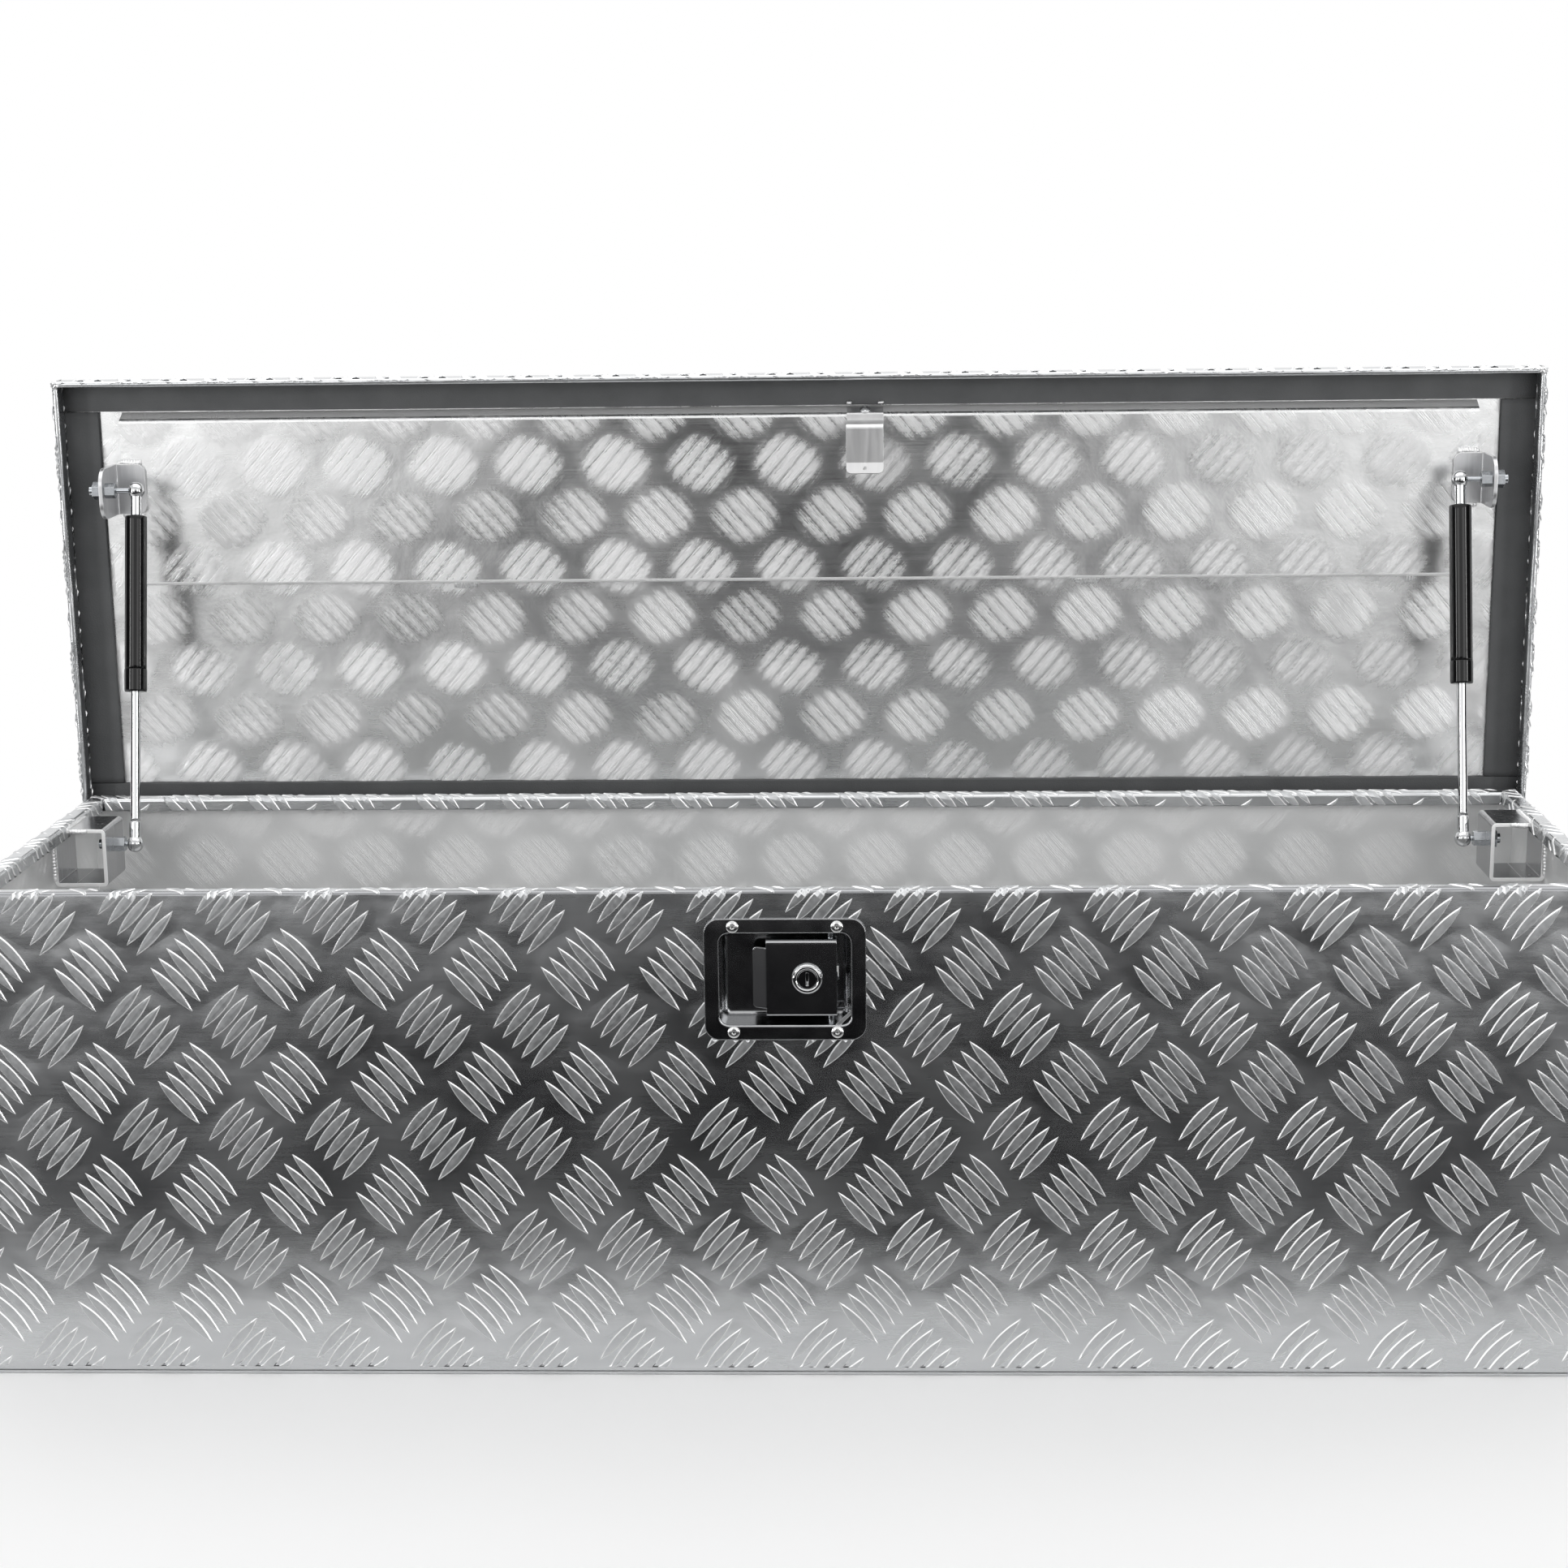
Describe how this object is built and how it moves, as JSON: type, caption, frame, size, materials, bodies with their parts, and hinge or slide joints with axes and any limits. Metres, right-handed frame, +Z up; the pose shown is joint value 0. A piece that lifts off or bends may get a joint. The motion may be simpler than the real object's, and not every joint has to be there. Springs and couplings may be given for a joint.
{
  "type": "truck tool storage box",
  "caption": "Long rectangular tread-plate storage box with a hinged lid held open by gas struts, foam lid seal and a flush locking paddle latch.",
  "frame": {"origin": "middle of the underside of the box", "axes": "+X to the right along the length, +Y from the front to the hinge side, +Z up"},
  "size_m": [1.239, 0.3982, 0.7304],
  "materials": {
    "tread_plate": "five-bar tread plate, mill bright",
    "plain_plate": "smooth plate, mill bright",
    "foam": "closed-cell foam, matt",
    "polished_steel": "stainless, polished",
    "zinc_steel": "zinc plated",
    "chrome": "chrome plated",
    "black_paint": "gloss black",
    "rivet": "bright"
  },
  "bodies": {
    "box": {"front_panel": "tread_plate", "back_panel": "tread_plate", "left_end_panel": "tread_plate", "right_end_panel": "tread_plate", "floor_panel": "tread_plate", "hinge_box_leaf": "polished_steel", "hinge_pin": "polished_steel", "left_strut_channel": "plain_plate", "right_strut_channel": "plain_plate", "left_strut_angle": "plain_plate", "right_strut_angle": "plain_plate", "left_lower_stud": "zinc_steel", "right_lower_stud": "zinc_steel", "lower_stud_nuts": "zinc_steel", "latch_dish": "polished_steel", "latch_rivets": "rivet", "latch_case": "zinc_steel", "paddle_pin": "zinc_steel", "paddle_spring": "zinc_steel"},
    "lid": {"lid_skin": "tread_plate", "lid_stiffener": "plain_plate", "front_seal": "foam", "rear_seal": "foam", "left_seal": "foam", "right_seal": "foam", "striker": "zinc_steel", "striker_screw": "zinc_steel", "hinge_lid_leaf": "polished_steel", "left_upper_bracket": "plain_plate", "right_upper_bracket": "plain_plate", "left_upper_stud": "zinc_steel", "right_upper_stud": "zinc_steel", "upper_stud_nuts": "zinc_steel"},
    "left_tube": {"left_strut_tube": "black_paint", "left_strut_guide": "black_paint", "left_upper_socket": "chrome"},
    "right_tube": {"right_strut_tube": "black_paint", "right_strut_guide": "black_paint", "right_upper_socket": "chrome"},
    "left_rod": {"left_strut_rod": "chrome", "left_strut_piston": "zinc_steel", "left_lower_socket": "chrome", "left_lower_ball": "zinc_steel"},
    "right_rod": {"right_strut_rod": "chrome", "right_strut_piston": "zinc_steel", "right_lower_socket": "chrome", "right_lower_ball": "zinc_steel"},
    "paddle": {"paddle": "polished_steel", "lock_barrel": "chrome"},
    "lock_plug": {"lock_plug": "chrome", "lock_cam": "zinc_steel"},
    "latch_bolt": {"latch_bolt": "zinc_steel"}
  },
  "joints": [
    {"name": "lid_hinge", "type": "hinge", "parent": "box", "child": "lid", "pos_m": [0, 0.1838, 0.3547], "axis": [1, 0, 0], "range_deg": [0, 89], "stiffness_Nm_per_rad": 3, "springref_deg": -68.75},
    {"name": "left_strut_pivot", "type": "hinge", "parent": "lid", "child": "left_tube", "pos_m": [-0.546, 0.15309, 0.64171], "axis": [1, 0, 0], "range_deg": [0, 23.6]},
    {"name": "left_rod_slide", "type": "slide", "parent": "left_tube", "child": "left_rod", "axis": [0, -0.242, -0.9703], "range_m": [-0.1062, 0]},
    {"name": "right_strut_pivot", "type": "hinge", "parent": "lid", "child": "right_tube", "pos_m": [0.546, 0.15309, 0.64171], "axis": [1, 0, 0], "range_deg": [0, 23.6]},
    {"name": "right_rod_slide", "type": "slide", "parent": "right_tube", "child": "right_rod", "axis": [0, -0.242, -0.9703], "range_m": [-0.1062, 0]},
    {"name": "paddle_hinge", "type": "hinge", "parent": "box", "child": "paddle", "pos_m": [0.0355, -0.173, 0.3107], "axis": [0, 0, 1], "range_deg": [0, 35], "stiffness_Nm_per_rad": 0.15, "springref_deg": -28.65},
    {"name": "lock_turn", "type": "hinge", "parent": "paddle", "child": "lock_plug", "pos_m": [0.0182, -0.1791, 0.3107], "axis": [0, 1, 0], "range_deg": [0, 90]},
    {"name": "bolt_slide", "type": "slide", "parent": "box", "child": "latch_bolt", "axis": [1, 0, 0], "range_m": [-0.0113, 0]}
  ],
  "couplings": [
    {"joint": "left_strut_pivot", "follows": "lid_hinge", "ratio": 0.26392},
    {"joint": "left_rod_slide", "follows": "lid_hinge", "m_per_rad": -0.06823},
    {"joint": "right_strut_pivot", "follows": "lid_hinge", "ratio": 0.26392},
    {"joint": "right_rod_slide", "follows": "lid_hinge", "m_per_rad": -0.06823},
    {"joint": "bolt_slide", "follows": "paddle_hinge", "m_per_rad": -0.018335}
  ]
}
